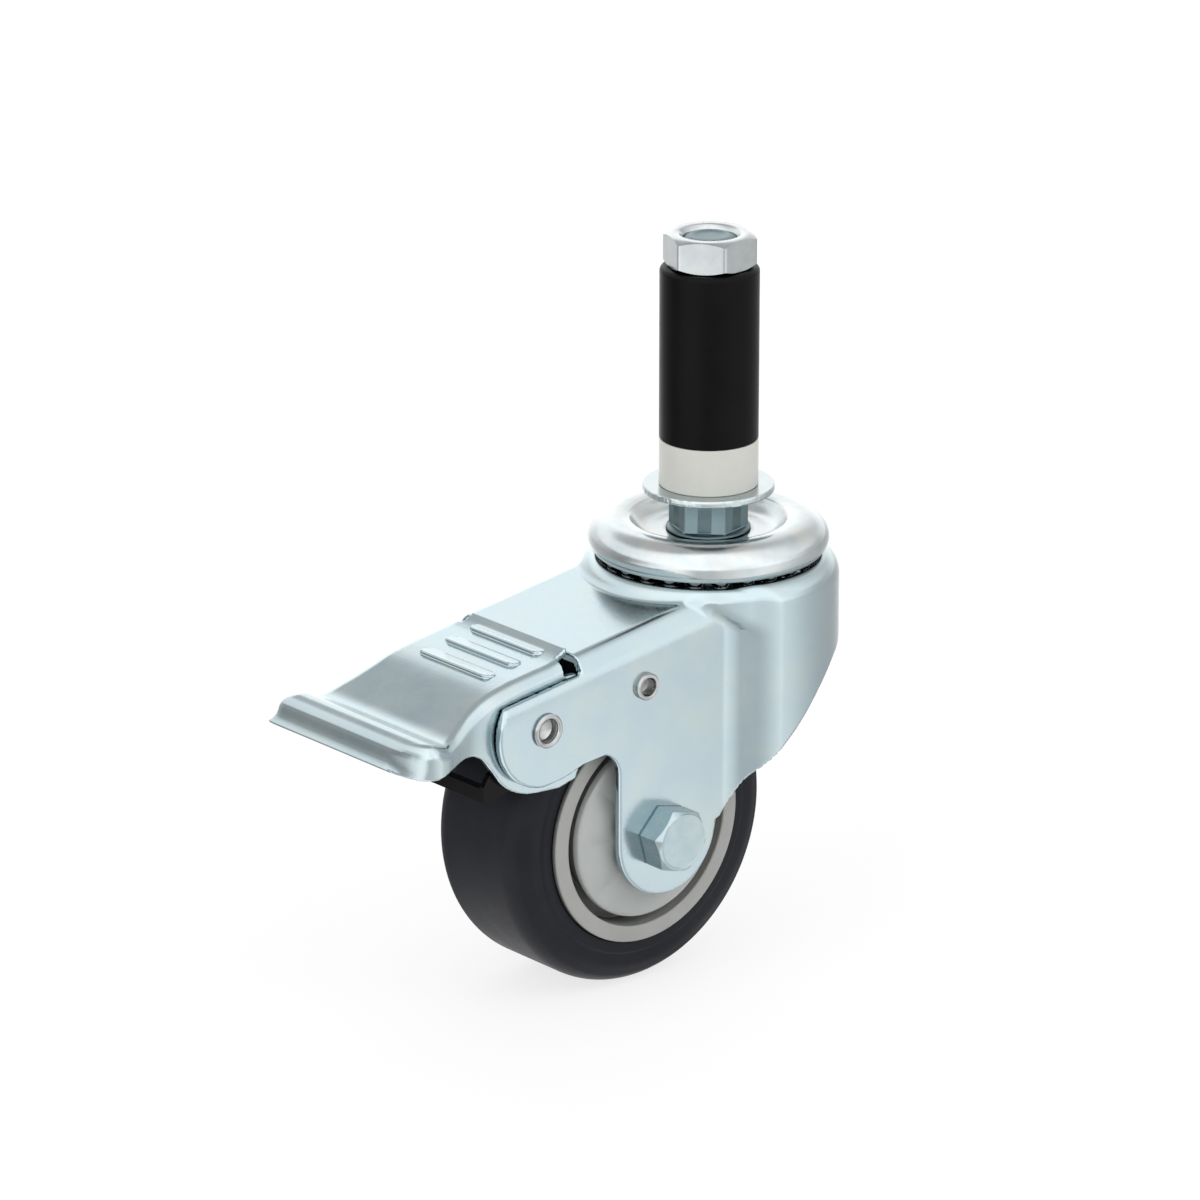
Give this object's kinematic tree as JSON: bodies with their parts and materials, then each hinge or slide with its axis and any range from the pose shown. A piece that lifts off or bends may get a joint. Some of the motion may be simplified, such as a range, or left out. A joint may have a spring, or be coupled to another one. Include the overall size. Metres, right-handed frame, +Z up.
{
  "type": "castor",
  "caption": "Swivel castor with an expanding rubber stem, ball-race swivel head, pressed fork, foot pedal with wheel brake and a solid-tyred wheel.",
  "frame": {"origin": "centre of the top face of the stop disc, on the swivel axis, where the furniture tube's end rests", "axes": "+Z up the stem along the swivel axis; the wheel axle runs along Y; the wheel trails and the pedal points toward -X"},
  "size_m": [0.1811, 0.0832, 0.2224],
  "materials": {
    "zinc_pressed": "satin zinc plate on pressed sheet",
    "zinc_turned": "bright zinc plate on a turned part",
    "zinc_bolt": "zinc plate on a forged bolt",
    "nut_steel": "machined, bright",
    "race_steel": "hardened, ground",
    "ball_steel": "polished",
    "rivet_nickel": "plated, rolled rim",
    "rubber_black": "smooth moulded, semi-matte",
    "spacer_white": "moulded",
    "guard_grey": "moulded, fine texture",
    "rim_grey": "moulded, fine texture",
    "tyre_charcoal": "smooth, fine moulding texture",
    "yoke_black": "black coating",
    "pad_black": "moulded"
  },
  "bodies": {
    "stem": {"stem_stud": "zinc_turned", "stem_nut": "nut_steel", "expander_sleeve": "rubber_black", "spacer_ring": "spacer_white", "stop_disc": "zinc_turned", "top_cover": "zinc_pressed", "upper_race": "race_steel", "lower_race": "race_steel", "kingpin_nut": "nut_steel"},
    "fork": {"fork_frame": "zinc_pressed", "upper_balls": "ball_steel", "lower_balls": "ball_steel", "axle_bolt": "zinc_bolt", "axle_tube": "race_steel", "axle_washer": "zinc_bolt", "axle_nut": "zinc_bolt", "bearing_inner_near": "race_steel", "bearing_inner_far": "race_steel", "thread_guard_near": "guard_grey", "thread_guard_far": "guard_grey", "pivot_tube": "rivet_nickel", "yoke_rivets": "rivet_nickel"},
    "wheel": {"wheel_rim": "rim_grey", "tyre": "tyre_charcoal", "bearing_outer_near": "race_steel", "bearing_outer_far": "race_steel", "bearing_balls_near": "ball_steel", "bearing_balls_far": "ball_steel"},
    "pedal": {"pedal": "zinc_pressed"},
    "brake": {"brake_yoke": "yoke_black", "brake_pad": "pad_black"}
  },
  "joints": [
    {"name": "swivel", "type": "hinge", "parent": "stem", "child": "fork", "pos_m": [0, 0, 0], "axis": [0, 0, 1], "continuous": true},
    {"name": "wheel_spin", "type": "hinge", "parent": "fork", "child": "wheel", "pos_m": [-0.043, 0, -0.0944], "axis": [0, 1, 0], "continuous": true},
    {"name": "pedal_press", "type": "hinge", "parent": "fork", "child": "pedal", "pos_m": [-0.08881, 0, -0.05031], "axis": [0, -1, 0], "range_deg": [0, 14]},
    {"name": "brake_swing", "type": "hinge", "parent": "fork", "child": "brake", "pos_m": [-0.0506, 0, -0.0454], "axis": [0, -1, 0], "range_deg": [0, 3.25]}
  ],
  "couplings": [
    {"joint": "brake_swing", "follows": "pedal_press", "ratio": 0.23}
  ]
}
